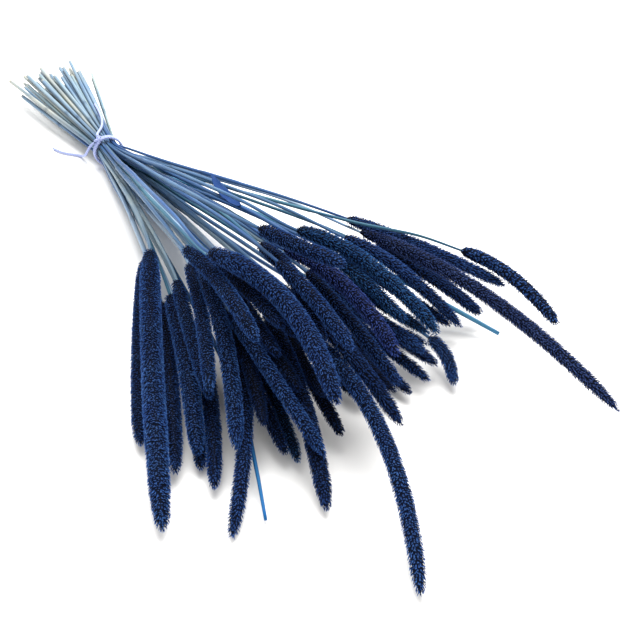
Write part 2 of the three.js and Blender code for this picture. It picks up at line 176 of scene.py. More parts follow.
def ramp(tree, source, stops):
    """A colour ramp driven by source. stops holds (position, colour)."""
    made = node(tree, "ShaderNodeValToRGB")
    elements = made.color_ramp.elements
    while len(elements) > 1:
        elements.remove(elements[-1])
    elements[0].position = stops[0][0]
    elements[0].color = (*stops[0][1], 1)
    for position, colour in stops[1:]:
        elements.new(position).color = (*colour, 1)
    tree.links.new(source, made.inputs["Fac"])
    return made.outputs["Color"]


def attribute(tree, name):
    """The value of a mesh's own attribute."""
    return node(tree, "ShaderNodeAttribute", attribute_name=name).outputs["Fac"]


def noise(tree, scale, detail=3.0, place=None):
    """Noise over place, or else over the object's own coordinates, in metres."""
    made = node(tree, "ShaderNodeTexNoise")
    made.inputs["Scale"].default_value = scale
    made.inputs["Detail"].default_value = detail
    place = place or node(tree, "ShaderNodeTexCoord").outputs["Object"]
    tree.links.new(place, made.inputs["Vector"])
    return made.outputs["Fac"]


def along_stalk(tree):
    """Places on a stalk's skin, drawn out along it: round it in the first two axes, along it in the third."""
    made = node(tree, "ShaderNodeCombineXYZ")
    for axis, name in zip("XYZ", ("round_one", "round_other", "grain")):
        tree.links.new(attribute(tree, name), made.inputs[axis])
    return made.outputs["Vector"]


def mix(tree, kind, amount, one, other):
    """Mixes two colours. amount is a number or a socket."""
    made = node(tree, "ShaderNodeMix", data_type="RGBA", blend_type=kind)
    colours = [s for s in made.inputs if s.type == "RGBA"]
    if isinstance(amount, float):
        made.inputs["Factor"].default_value = amount
    else:
        tree.links.new(amount, made.inputs["Factor"])
    for socket, value in zip(colours, (one, other)):
        if isinstance(value, tuple):
            socket.default_value = (*value, 1)
        else:
            tree.links.new(value, socket)
    return [s for s in made.outputs if s.type == "RGBA"][0]


def tinted(tree, colour, source, low, high):
    """The colour times a tint that source leads from low to high, each a (position, tint)."""
    return mix(tree, "MULTIPLY", 1.0, colour, ramp(tree, source, [low, high]))


def spread(tree, source, low, high):
    """Maps 0..1 of source to low..high."""
    made = node(tree, "ShaderNodeMapRange")
    made.inputs["To Min"].default_value = low
    made.inputs["To Max"].default_value = high
    tree.links.new(source, made.inputs["Value"])
    return made.outputs["Result"]


def bump(tree, shader, height, strength, distance):
    """Bumps the shader's surface by height."""
    made = node(tree, "ShaderNodeBump")
    made.inputs["Strength"].default_value = strength
    made.inputs["Distance"].default_value = distance
    tree.links.new(height, made.inputs["Height"])
    tree.links.new(made.outputs["Normal"], shader.inputs["Normal"])


def spike_material(name, base, painted_tip_highlight):
    """Dyed florets, each a little different in tone, with painted shade that makes them nearly black at the
    foot and a painted highlight at the ends of the bristles.
    """
    material, tree, shader = new_material(name)
    # painted shade: the florets darken from the base dye colour down to nearly black at their feet; the tip
    # colour is a painted highlight
    deep = tuple(0.08 * c for c in base)
    low = tuple(0.5 * c for c in base)
    stops = [(0.0, deep), (0.44, low), (0.7, base), (0.9, painted_tip_highlight), (1.0, painted_tip_highlight)]
    colour = ramp(tree, attribute(tree, "painted_shade_to_highlight"), stops)
    shade = attribute(tree, "shade")
    colour = tinted(tree, colour, shade, (0.0, (0.5, 0.52, 0.6)), (1.0, (1.45, 1.42, 1.33)))
    colour = tinted(tree, colour, noise(tree, 90.0), (0.3, (0.8, 0.84, 0.92)), (0.7, (1.12, 1.08, 1.0)))
    tree.links.new(colour, shader.inputs["Base Color"])
    tree.links.new(spread(tree, noise(tree, 900.0), 0.6, 0.85), shader.inputs["Roughness"])
    shader.inputs["Specular IOR Level"].default_value = 0.08
    return material


def stalk_material(name, near_spike, middle, at_cut):
    """A dry dyed stalk: streaks along it, darker joints, paler towards its cut end and straw inside.

    Past the tie it has the same colour as near the spike.
    """
    material, tree, shader = new_material(name)
    stops = [
        (0.0, at_cut), (0.2, at_cut), (0.36, near_spike), (0.44, near_spike),
        (0.62, middle), (0.78, middle), (1.0, near_spike),
    ]
    colour = ramp(tree, attribute(tree, "along"), stops)
    grain = along_stalk(tree)
    wide = noise(tree, 1.1, 2.0, grain)
    colour = tinted(tree, colour, wide, (0.35, (0.66, 0.73, 0.82)), (0.62, (1.14, 1.12, 1.08)))
    fine = noise(tree, 3.4, 3.0, grain)
    colour = tinted(tree, colour, fine, (0.35, (0.80, 0.83, 0.88)), (0.65, (1.1, 1.09, 1.07)))
    blotches = noise(tree, 45.0)
    colour = tinted(tree, colour, blotches, (0.35, (0.82, 0.9, 1.0)), (0.65, (1.1, 1.03, 0.95)))
    colour = mix(tree, "MIX", attribute(tree, "joint"), colour, tuple(0.45 * c for c in middle))
    colour = mix(tree, "MIX", attribute(tree, "cut"), colour, (0.42, 0.36, 0.24))
    tree.links.new(colour, shader.inputs["Base Color"])
    tree.links.new(spread(tree, noise(tree, 300.0), 0.36, 0.6), shader.inputs["Roughness"])
    shader.inputs["Specular IOR Level"].default_value = 0.14
    bump(tree, shader, noise(tree, 5.0, 3.0, grain), 0.4, 0.0001)
    return material


def leaf_material():
    """A dyed blade with fine veins."""
    material, tree, shader = new_material("dry_leaf_blue")
    veins = node(tree, "ShaderNodeTexWave", wave_type="BANDS", bands_direction="X")
    veins.inputs["Scale"].default_value = 520.0
    veins.inputs["Distortion"].default_value = 1.5
    tree.links.new(node(tree, "ShaderNodeTexCoord").outputs["Object"], veins.inputs["Vector"])
    colour = ramp(tree, veins.outputs["Fac"], [(0.0, (0.005, 0.028, 0.115)), (1.0, (0.012, 0.056, 0.21))])
    colour = tinted(tree, colour, noise(tree, 120.0), (0.3, (0.7, 0.8, 0.9)), (0.7, (1.2, 1.1, 1.0)))
    tree.links.new(colour, shader.inputs["Base Color"])
    tree.links.new(spread(tree, noise(tree, 250.0), 0.4, 0.65), shader.inputs["Roughness"])
    shader.inputs["Specular IOR Level"].default_value = 0.06
    bump(tree, shader, veins.outputs["Fac"], 0.4, 0.0002)
    return material


def string_material():
    """Pale lilac yarn, with painted shade in the grooves between its plies."""
    material, tree, shader = new_material("lilac_string")
    fibres = noise(tree, 2600.0, 4.0)
    colour = ramp(tree, fibres, [(0.3, (0.27, 0.33, 0.62)), (0.7, (0.45, 0.51, 0.80))])
    # painted shade: darker where the section dips into a groove between plies
    painted_groove_shade = attribute(tree, "painted_groove_shade")
    colour = tinted(tree, colour, painted_groove_shade, (0.0, (0.55, 0.58, 0.72)), (0.6, (1.0, 1.0, 1.0)))
    tree.links.new(colour, shader.inputs["Base Color"])
    tree.links.new(spread(tree, noise(tree, 1500.0), 0.55, 0.8), shader.inputs["Roughness"])
    shader.inputs["Sheen Weight"].default_value = 0.15
    shader.inputs["Sheen Roughness"].default_value = 0.5
    shader.inputs["Sheen Tint"].default_value = (0.85, 0.88, 1.0, 1)
    bump(tree, shader, fibres, 0.5, 0.0001)
    return material


def floor_material():
    """A plain, nearly white surface."""
    material, tree, shader = new_material("pale_floor")
    colour = ramp(tree, noise(tree, 6.0), [(0.3, (0.92, 0.918, 0.912)), (0.7, (0.94, 0.938, 0.932))])
    tree.links.new(colour, shader.inputs["Base Color"])
    tree.links.new(spread(tree, noise(tree, 20.0), 0.7, 0.8), shader.inputs["Roughness"])
    return material


# ---------------------------------------------------------------------------------------------- geometry


def unit(vectors):
    """The vectors at length 1."""
    return vectors / np.maximum(np.linalg.norm(vectors, axis=-1, keepdims=True), 1e-12)


def between(t, low, high, one, other):
    """one at low, other at high, and on their straight line for any other t."""
    return ((high - t) * one + (t - low) * other) / (high - low)


def distances(places):
    """How far along a line each of its places is."""
    return np.concatenate([[0], np.cumsum(np.linalg.norm(np.diff(places, axis=0), axis=1))])


def smooth_line(points, radii, step):
    """A smooth curve through points, sampled about every step: its places, radii and distances.

    It is a centripetal Catmull-Rom curve, so it doesn't overshoot where points are close.
    """
    points = np.asarray(points, float)
    ends = np.vstack([2 * points[0] - points[1], points, 2 * points[-1] - points[-2]])
    knots = np.concatenate([[0], np.cumsum(np.sqrt(np.linalg.norm(np.diff(ends, axis=0), axis=1)))])
    places, sizes = [], []
    for k in range(1, len(ends) - 2):
        length = np.linalg.norm(ends[k + 1] - ends[k])
        count = max(2, int(math.ceil(length / step)))
        share = np.arange(count) / count
        before, start, end, after = knots[k - 1 : k + 3]
        t = start + (end - start) * np.arange(count)[:, None] / count
        first = between(t, before, start, ends[k - 1], ends[k])
        second = between(t, start, end, ends[k], ends[k + 1])
        third = between(t, end, after, ends[k + 1], ends[k + 2])
        early = between(t, before, end, first, second)
        late = between(t, start, after, second, third)
        places.append(between(t, start, end, early, late))
        sizes.append(radii[k - 1] + (radii[k] - radii[k - 1]) * share)
    places = np.vstack([*places, points[-1:]])
    sizes = np.concatenate([*sizes, [radii[-1]]])
    return places, sizes, distances(places)


def frames(places):
    """The tangent and two normals at each place of a line, turning as little as they can."""
    tangents = unit(np.gradient(places, axis=0))
    first = np.cross(tangents[0], (0, 0, 1.0))
    if np.linalg.norm(first) < 0.1:
        first = np.cross(tangents[0], (0, 1.0, 0))
    normals = [first / np.linalg.norm(first)]
    for t in tangents[1:]:
        carried = normals[-1] - t * np.dot(normals[-1], t)
        normals.append(carried / np.linalg.norm(carried))
    normals = np.array(normals)
    return tangents, normals, np.cross(tangents, normals)


def build_mesh(name, vertices, faces, material, attributes=None, smooth=False):
    """A new object from arrays: vertices in metres, and faces as arrays of triangles or quads."""
    mesh = bpy.data.meshes.new(name)
    mesh.vertices.add(len(vertices))
    mesh.vertices.foreach_set("co", np.asarray(vertices, np.float32).ravel())
    flat = np.concatenate([np.asarray(f, np.int32).ravel() for f in faces])
    sizes = np.concatenate([np.full(len(f), len(f[0]), np.int32) for f in faces])
    mesh.loops.add(len(flat))
    mesh.loops.foreach_set("vertex_index", flat)
    mesh.polygons.add(len(sizes))
    starts = np.cumsum(sizes) - sizes
    mesh.polygons.foreach_set("loop_start", starts.astype(np.int32))
    mesh.polygons.foreach_set("use_smooth", np.full(len(sizes), smooth))
    for key, values in (attributes or {}).items():
        layer = mesh.attributes.new(key, "FLOAT", "POINT")
        layer.data.foreach_set("value", np.asarray(values, np.float32))
    mesh.update()
    mesh.validate()
    mesh.materials.append(material)
    made = bpy.data.objects.new(name, mesh)
    bpy.context.scene.collection.objects.link(made)
    return made


def tube_faces(rings, sides):
    """Quads of a tube of rings, each with that many sides."""
    k, n = np.meshgrid(np.arange(rings - 1), np.arange(sides), indexing="ij")
    a = k * sides + n
    b = k * sides + (n + 1) % sides
    return np.stack([a, b, b + sides, a + sides], axis=-1).reshape(-1, 4)


def cap_faces(ring_start, sides, pole, outward):
    """Triangles from a ring of sides vertices to a pole vertex, facing along the tube if outward."""
    n = np.arange(sides)
    a, b = ring_start + n, ring_start + (n + 1) % sides
    order = (a, b) if outward else (b, a)
    return np.stack([*order, np.full(sides, pole)], axis=-1)


def tube(places, radii, sides, turn=None):
    """Vertices of a closed tube along places, then its quads and its triangles.

    radii holds one radius a ring, or one a vertex. turn, if given, turns each ring's section.
    """
    _, one, other = frames(places)
    angles = 2 * np.pi * np.arange(sides) / sides
    section = np.asarray(radii)
    if section.ndim == 1:
        section = np.repeat(section[:, None], sides, axis=1)
    angle = angles[None, :] + (0 if turn is None else turn[:, None])
    around = np.cos(angle)[..., None] * one[:, None] + np.sin(angle)[..., None] * other[:, None]
    vertices = places[:, None] + section[..., None] * around
    count = len(places)
    flat = np.vstack([vertices.reshape(-1, 3), places[:1], places[-1:]])
    faces = [
        tube_faces(count, sides),
        np.vstack([
            cap_faces(0, sides, count * sides, False),
            cap_faces((count - 1) * sides, sides, count * sides + 1, True),
        ]),
    ]
    return flat, faces


# ---------------------------------------------------------------------------------------------- CAD lines


def merged(mesh):
    """A mesh's distinct points, and its edges between them."""
    places = np.empty(len(mesh.vertices) * 3)
    mesh.vertices.foreach_get("co", places)
    points, same = np.unique(np.round(places.reshape(-1, 3), 6), axis=0, return_inverse=True)
    ends = np.empty(len(mesh.edges) * 2, int)
    mesh.edges.foreach_get("vertices", ends)
    return points, same.ravel()[ends.reshape(-1, 2)]


def rings_of(name):
    """The rings of points of a grown node, one after the other from its back end.

    Each end has a pole that six points of the next ring join, and those six join five points each.
    """
    points, edges = merged(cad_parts[name].data)
    near = {k: set() for k in range(len(points))}
    for a, b in edges:
        if a != b:
            near[a].add(b)
            near[b].add(a)
    poles = [k for k, around in near.items() if len(around) == 6 and all(len(near[n]) == 5 for n in around)]
    start = max(poles, key=lambda k: points[k][1])
    seen, level, found = {start}, {start}, []
    while level:
        level = {n for k in level for n in near[k]} - seen
        seen |= level
        if len(level) > 1:
            found.append(points[sorted(level)])
    return found


def centre_line(name, rings):
    """The middle and radius of each ring of a grass node, from its cut end to its tip."""
    found = rings_of(name)[:rings]
    middles = np.array([ring.mean(axis=0) for ring in found])
    radii = np.array([np.linalg.norm(ring - middle, axis=1).mean() for ring, middle in zip(found, middles)])
    return middles, radii


def show(piece, cad_node):
    """Lets a piece stand for a CAD node: it joins the root body and the node is hidden."""
    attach(piece, "root")
    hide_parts(cad_node)


# ---------------------------------------------------------------------------------------------- string


tie_low, tie_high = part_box("tie_band")
TIE_X = (tie_low[0] + tie_high[0]) / 2
TIE_Y = (tie_low[1] + tie_high[1]) / 2
BAND_RADIUS = (tie_high[0] - tie_low[0]) / 2 - STRING_RADIUS * MM
TIE_Z = BAND_RADIUS + STRING_RADIUS * MM

LEFT_TAIL = [
    (-8.1, 0.0, 16.5), (-9.5, 0.2, 15.5), (-10.7, 0.8, 14.3), (-11.5, 1.8, 12.8), (-12.0, 3.2, 11.0),
    (-12.3, 5.0, 9.0), (-12.5, 7.2, 7.0), (-12.7, 9.8, 5.1), (-12.9, 12.8, 3.4), (-13.2, 15.8, 2.0),
    (-13.8, 18.6, 1.1), (-15.2, 21.0, 0.9), (-17.2, 23.2, 0.9), (-19.6, 25.6, 0.9), (-21.8, 28.4, 0.9),
    (-23.6, 31.4, 0.9), (-25.0, 34.6, 0.9), (-26.2, 38.0, 0.9),
]
RIGHT_TAIL = [
    (-4.6, 2.8, 19.1), (-4.3, 4.6, 19.1), (-3.7, 6.6, 18.9), (-2.7, 8.9, 18.5), (-1.4, 11.4, 18.1),
    (0.1, 14.2, 17.8), (1.7, 17.2, 17.6), (3.2, 20.6, 17.6), (4.5, 24.2, 17.6), (5.6, 28.0, 17.6),
    (6.5, 32.0, 17.5), (7.2, 36.0, 17.4), (7.8, 40.0, 17.3), (8.3, 44.0, 17.3), (8.7, 48.0, 17.3),
    (9.0, 52.0, 17.4), (9.3, 56.0, 17.5),
]


def from_tie(points):
    """Points given in millimetres from the foot of the tie, in metres from the origin."""
    return np.array([(TIE_X + x * MM, TIE_Y + y * MM, z * MM) for x, y, z in points])


def twisted(name, places, material, radius=STRING_RADIUS * MM):
    """A string of twisted plies along places."""
    sides = SIDES_PER_PLY * STRING_PLIES
    angles = 2 * np.pi * np.arange(sides) / sides
    lobes = np.abs(np.cos(STRING_PLIES * angles / 2))
    shares = 1 - PLY_DEPTH + PLY_DEPTH * lobes**0.7
    radii = radius * np.repeat(shares[None, :], len(places), axis=0)
    turn = 2 * np.pi * distances(places) / (STRING_TWIST * MM)
    vertices, faces = tube(places, radii, sides, turn)
    # how far each vertex stands out of a groove, read by the material for its painted groove shade
    painted_groove_shade = np.concatenate([np.tile(lobes, len(places)), [1, 1]])
    return build_mesh(name, vertices, faces, material, {"painted_groove_shade": painted_groove_shade}, smooth=True)


def tail(name, cad_node, route, material):
    """A free tail of the string: a cord with a bare end."""
    points = from_tie(route)
    places, _, along = smooth_line(points, np.ones(len(points)), TAIL_STEP * MM)
    made = twisted(name, places, material)
    show(made, cad_node)


def tie_turns(material):
    """The turns of string round the stalks, which start and end under the knot."""
    steps = STEPS_PER_TURN * TURNS
    share = np.arange(steps + 1) / steps
    angle = math.radians(KNOT_ANGLE) + 2 * np.pi * TURNS * share
    radius = BAND_RADIUS * (1 + TURN_WOBBLE * np.sin(3.1 * angle + 1) * np.sin(np.pi * share))
    width = 2 * STRING_RADIUS * (TURNS - 1) * MM
    x = TIE_X + radius * np.cos(angle)
    y = TIE_Y + (share - 0.5) * width
    z = np.maximum(TIE_Z + radius * np.sin(angle), STRING_RADIUS * MM)
    made = twisted("tie_turns", np.stack([x, y, z], axis=1), material)
    show(made, "tie_band")


def tie_knot(material):
    """A tight overhand knot on top of the turns, its string on a trefoil's line."""
    t = 2 * np.pi * np.arange(KNOT_STEPS + 1) / KNOT_STEPS
    trefoil = [np.sin(t) + 2 * np.sin(2 * t), np.cos(t) - 2 * np.cos(2 * t), -np.sin(3 * t)]
    round_it, along_it, outward = [scale * MM * line for scale, line in zip(KNOT_SCALE, trefoil)]
    angle = math.radians(KNOT_ANGLE)
    reach = BAND_RADIUS + KNOT_LIFT * MM + outward
    x = TIE_X + round_it * math.sin(angle) + reach * math.cos(angle)
    y = TIE_Y + along_it
    z = TIE_Z - round_it * math.cos(angle) + reach * math.sin(angle)
    made = twisted("tie_knot", np.stack([x, y, z], axis=1), material, KNOT_STRING_RADIUS * MM)
    show(made, "tie_band")


# ---------------------------------------------------------------------------------------------- grass

# One floret: a keeled body that forks into two stiff bristles. Each point is along it, sideways and above it.
# The first and last are shares of its length, and sideways is in shares of its half width.
FLORET = np.array([
    (0.0, 0.0, 0.0),  # foot
    (0.5, -1.0, 0.02),  # flanks
    (0.5, 1.0, 0.02),
    (0.62, 0.0, 0.09),  # keel, where the bristles part
    (0.5, 0.0, -0.06),  # inner face
    (1.0, -1.0, 0.0),  # tips of the bristles
    (1.0, 1.0, 0.0),
])
FLORET_FACES = np.array([
    (0, 1, 3), (0, 3, 2), (1, 5, 3), (3, 6, 2), (0, 4, 1),
    (0, 2, 4), (1, 4, 5), (4, 2, 6), (3, 5, 4), (3, 4, 6),
])
# painted shade at a floret's foot, rising to a painted highlight at its bristle tips
FLORET_SHADE_TO_HIGHLIGHT = np.array([0.0, 0.5, 0.5, 0.72, 0.4, 1.0, 1.0])  # from foot to tip, for its colour


def sampled(values, along, s):
    """Vectors given at distances along a line, read at the distances s."""
    return np.stack([np.interp(s, along, values[:, k]) for k in range(3)], axis=1)


def floret_sites(along, sizes, density, rng):
    """Where florets sit on a spike: distances from its foot and angles round it, in staggered rows."""
    length = along[-1]
    pitch = FLORET_PITCH * MM / math.sqrt(density)
    round_it, along_it = SITE_SCATTER
    first, last = ROW_MARGINS
    rows, angles = [], []
    s, turn = first * MM, 0.0
    while s < length - last * MM:
        radius = max(float(np.interp(s, along, sizes)), LEAST_ROW_RADIUS * MM)
        count = max(LEAST_ROW, int(round(2 * math.pi * ROW_FULLNESS * radius / pitch)))
        turn += math.pi / count + ROW_STAGGER
        ring = turn + 2 * np.pi * np.arange(count) / count
        angles.append(ring + rng.normal(0, round_it, count) * 2 * np.pi / count)
        rows.append(np.full(count, s) + rng.normal(0, along_it, count) * pitch)
        s += pitch
    return np.clip(np.concatenate(rows), 0, length), np.concatenate(angles)


def florets(places, sizes, along, look, rng):
    """Points of all the florets of a spike, one floret after another."""
    tangents, one, other = frames(places)
    length = along[-1]
    s, angle = floret_sites(along, sizes, look["density"], rng)
    count = len(s)
    radius = np.interp(s, along, sizes)
    onward = unit(sampled(tangents, along, s))
    cosine, sine = np.cos(angle)[:, None], np.sin(angle)[:, None]
    out = unit(cosine * sampled(one, along, s) + sine * sampled(other, along, s))
    from_tip = np.clip((length - s) / (TIP_LENGTH * MM), 0, 1)
    from_foot = np.clip(s / (FOOT_LENGTH * MM), 0, 1)
    lean = np.radians(look["lean"]) * (TIP_LEAN + (1 - TIP_LEAN) * from_tip)
    lean = lean + np.radians(FOOT_LEAN) * (1 - from_foot) ** 1.5
    lean = lean + rng.normal(0, math.radians(look["rough"]), count)
    start = FLORET_FOOT * radius
    rise = radius + BRISTLE_REACH * MM - start
    shortest, longest = FLORET_REACH
    steepness = np.sin(np.clip(lean, math.radians(LEAST_LEAN), math.pi))
    reach = np.clip(rise / steepness, shortest * MM, longest * MM)
    reach = reach * rng.uniform(*REACH_SCATTER, count)
    cosine, sine = np.cos(lean)[:, None], np.sin(lean)[:, None]
    axis = cosine * onward + sine * out
    side = unit(np.cross(-sine * onward + cosine * out, axis))
    axis = unit(axis + rng.normal(0, look["stray"], count)[:, None] * side)
    above = np.cross(axis, side)
    base = sampled(places, along, s) + start[:, None] * out
    width = look["width"] * FLORET_WIDTH * MM * rng.uniform(*WIDTH_SCATTER, count)
    along_it = FLORET[None, :, 0:1] * (reach[:, None] * axis)[:, None]
    across_it = FLORET[None, :, 1:2] * (width[:, None] * side)[:, None]
    above_it = FLORET[None, :, 2:3] * (reach[:, None] * above)[:, None]
    return (base[:, None] + along_it + across_it + above_it).reshape(-1, 3)


def spike_piece(name, cad_node, middles, radii, look, rng):
    """A spike: a core in the painted deep shade of a floret's foot, covered in florets that lean towards its
    tip.
    """
    places, sizes, along = smooth_line(middles, look["fullness"] * radii, SPIKE_STEP * MM)
    vertices = florets(places, sizes, along, look, rng)
    points = len(FLORET)
    count = len(vertices) // points
    faces = (FLORET_FACES[None] + points * np.arange(count)[:, None, None]).reshape(-1, 3)
    every = max(1, int(CORE_STEP * MM / (along[1] - along[0])))
    pick = np.unique(np.append(np.arange(0, len(places), every), len(places) - 1))
    core_radii = np.maximum(CORE_FULLNESS * sizes[pick], LEAST_CORE_RADIUS * MM)
    core, (core_quads, core_caps) = tube(places[pick], core_radii, CORE_SIDES)
    first = len(vertices)
    vertices = np.vstack([vertices, core])
    vertices[:, 2] = np.maximum(vertices[:, 2], SPIKE_CLEARANCE * MM)
    shades = np.repeat(rng.uniform(0, 1, count), points)
    attributes = {
        # the core reads 0, the painted deep shade of a floret's foot
        "painted_shade_to_highlight": np.concatenate([np.tile(FLORET_SHADE_TO_HIGHLIGHT, count), np.zeros(len(core))]),
        "shade": np.concatenate([shades, np.full(len(core), CORE_SHADE)]),
    }
    all_faces = [np.vstack([faces, core_caps + first]), core_quads + first]
    made = build_mesh(name, vertices, all_faces, look["material"], attributes)
    show(made, cad_node)


def stalk_line(middles, radii, rng):
    """A stalk's places and radii, the distances along it and how much of a joint's swelling is at each.

    A stalk has two joints, a sheath that thickens it past the second one, and a little sway.
    """
    places, sizes, along = smooth_line(middles, radii, STALK_STEP * MM)
    share = along / along[-1]
    joints = [least + more * rng.random() for least, more in JOINT_SHARES]
    least, more = SHEATH_SHARE
    sheath_end = joints[1] + least + more * rng.random()
    in_sheath = (share > joints[1]) & (share < sheath_end)
    swell = sum(np.exp(-(((share - j) * along[-1]) / (JOINT_LENGTH * MM)) ** 2) for j in joints)
    ripple = STALK_RIPPLE * np.sin(RIPPLE_TURN * share + rng.uniform(0, 6))
    extra = SHEATH_THICKNESS * in_sheath + JOINT_SWELL * swell
    sizes = sizes * (STALK_FULLNESS + ripple) + extra * MM
    sideways = np.sin(SWAY_TURNS[0] * share + rng.uniform(0, 6))
    upward = np.cos(SWAY_TURNS[1] * share + rng.uniform(0, 6))
    drift = np.stack([sideways, np.zeros(len(share)), upward], axis=1)
    sway = SWAY * MM * np.sin(np.pi * share) ** 2
    tied = np.clip(np.abs(places[:, 1] - TIE_Y) / (TIED_LENGTH * MM), 0, 1)
    places = places + drift * (sway * tied)[:, None]
    places[:, 2] = np.maximum(places[:, 2], sizes)
    return places, sizes, along, swell


def hollow_cut(places, vertices, faces):
    """Hollows a stalk's cut end: its cap goes into the stalk, round a narrower opening.

    Returns the vertices, the faces and how much each vertex belongs to the cut.
    """
    sides = STALK_SIDES
    inward = frames(places)[0][0] * CUT_DEPTH * MM
    pole = len(places) * sides
    opening = places[0] + CUT_OPENING * (vertices[:sides] - places[0])
    first = len(vertices)
    vertices = np.vstack([vertices, opening, opening + inward])
    vertices[pole] = places[0] + inward
    n = np.arange(sides)
    after = (n + 1) % sides
    rim = np.stack([after, n, first + n, first + after], axis=-1)
    wall = np.stack([first + after, first + n, first + sides + n, first + sides + after], axis=-1)
    hole = np.stack([first + sides + after, first + sides + n, np.full(sides, pole)], axis=-1)
    cut = np.zeros(len(vertices))
    cut[:sides] = 0.5
    cut[first:] = 1
    cut[pole] = 1
    return vertices, [np.vstack([faces[0], rim, wall]), np.vstack([hole, faces[1][sides:]])], cut


def lengthwise(values):
    """One value a ring of a stalk as one value a vertex: its rings, its two poles and its hollow."""
    return np.concatenate([
        np.repeat(values, STALK_SIDES), [values[0], values[-1]], np.full(2 * STALK_SIDES, values[0]),
    ])


def crosswise(values, rings):
    """One value a side of a stalk as one value a vertex, zero at its two poles and in its hollow."""
    return np.concatenate([np.tile(values, rings), np.zeros(2 + 2 * STALK_SIDES)])


def stalk_piece(name, cad_node, middles, radii, material, rng):
    """A stalk with a hollow cut end, joints and a sheath, and what its material reads on it."""
    places, sizes, along, swell = stalk_line(middles, radii, rng)
    vertices, faces, cut = hollow_cut(places, *tube(places, sizes, STALK_SIDES))
    angles = 2 * np.pi * np.arange(STALK_SIDES) / STALK_SIDES
    attributes = {
        "along": lengthwise(along / along[-1]),
        "round_one": crosswise(np.cos(angles), len(places)),
        "round_other": crosswise(np.sin(angles), len(places)),
        "grain": lengthwise(along / (GRAIN_LENGTH * MM) + rng.uniform(0, 90)),
        "joint": lengthwise(0.75 * np.clip(swell, 0, 1)),
        "cut": cut,
    }
    made = build_mesh(name, vertices, faces, material, attributes, smooth=True)
    show(made, cad_node)


def leaf(material):
    """The dry leaf blade: a thin folded strip with a midrib and wavy edges, pointed at its back end."""
    middles = np.array([ring.mean(axis=0) for ring in rings_of("leaf_blade")])
    places, _, along = smooth_line(middles, np.ones(len(middles)), LEAF_STEP * MM)
    share = along / along[-1]
    tangents = unit(np.gradient(places, axis=0))
    across = unit(np.cross(tangents, (0, 0, 1.0)))
    up = np.cross(across, tangents)
    # the blade widens over its first two fifths and narrows over its last fifth
    taper = np.clip(np.minimum(share * 2.6, (1 - share) * 3.0 + 0.35), 0.04, 1) ** 0.7
    top, under = [], []
    for c in np.linspace(-1, 1, LEAF_COLUMNS):
        sideways = LEAF_HALF_WIDTH * MM * c * taper
        rise = (LEAF_FOLD * abs(c) ** 1.4 + LEAF_WAVE * c * np.sin(LEAF_WAVE_TURN * share + c)) * MM * taper
        thickness = (LEAF_THICKNESS + LEAF_RIB * math.exp(-((c / LEAF_RIB_WIDTH) ** 2))) * MM
        line = places + across * sideways[:, None] + up * rise[:, None]
        top.append(line + up * thickness / 2)
        under.append(line - up * thickness / 2)
    section = np.stack(top + under[::-1], axis=1)
    rings, sides = section.shape[:2]
    ends = [section[0].mean(axis=0), section[-1].mean(axis=0)]
    vertices = np.vstack([section.reshape(-1, 3), *ends])
    faces = [
        tube_faces(rings, sides)[:, ::-1],
        np.vstack([
            cap_faces(0, sides, rings * sides, True),
            cap_faces((rings - 1) * sides, sides, rings * sides + 1, False),
        ]),
    ]
    made = build_mesh("leaf", vertices, faces, material, smooth=True)
    show(made, "leaf_blade")


def kind_by_index(kinds):
    """Turns {kind: indices} into {index: kind}."""
    return {index: kind for kind, chosen in kinds.items() for index in chosen}


# ---------------------------------------------------------------------------------------------- stage


def camera():
    """The camera, aimed at the bunch from in front of its spikes."""
    data = bpy.data.cameras.new("camera")
    data.lens = CAMERA_LENS
    data.sensor_width = SENSOR_WIDTH
    data.clip_start = 0.01
    data.clip_end = 50.0
    made = bpy.data.objects.new("camera", data)
    left, front = CAMERA_FROM_TIE
    made.location = (TIE_X + left * MM, TIE_Y + front * MM, CAMERA_HEIGHT * MM)
    made.rotation_euler = [math.radians(a) for a in CAMERA_TURN]
    bpy.context.scene.collection.objects.link(made)
    bpy.context.scene.camera = made


def area_light(name, location, target, size, power, colour):
    """A round soft light that points at target."""
    data = bpy.data.lights.new(name, "AREA")
    data.shape = "DISK"
    data.size = size
    data.energy = power
    data.color = colour
    made = bpy.data.objects.new(name, data)
    made.location = location
    made.rotation_euler = (made.location - target).to_track_quat("Z", "Y").to_euler()
    bpy.context.scene.collection.objects.link(made)


def stage():
    """The floor, one large key light from above and behind, and an even white surrounding."""
    corners = [(x * FLOOR_HALF, y * FLOOR_HALF, 0) for x, y in ((-1, -1), (1, -1), (1, 1), (-1, 1))]
    floor = build_mesh("floor", corners, [np.array([(0, 1, 2, 3)])], floor_material())
    floor.location.z = -FLOOR_DROP
    lit_point = (tie_low + tie_high) / 2 - Vector((0, LIT_POINT_PAST_TIE, 0))
    place = lit_point + Vector(KEY_FROM_LIT_POINT)
    area_light("key", place, lit_point, KEY_SIZE, KEY_WATTS, (1.0, 0.99, 0.97))
    world = bpy.data.worlds.new("studio")
    world.use_nodes = True
    back = world.node_tree.nodes["Background"]
    back.inputs["Color"].default_value = (1.0, 0.99, 0.975, 1)
    back.inputs["Strength"].default_value = 1.0
    bpy.context.scene.world = world
    bpy.context.scene.view_settings.view_transform = "Standard"


# ---------------------------------------------------------------------------------------------- the bunch

camera()
string = string_material()
tail("string_tail_left", "tie_tail_left", LEFT_TAIL, string)
tail("string_tail_right", "tie_tail_right", RIGHT_TAIL, string)
tie_turns(string)
tie_knot(string)
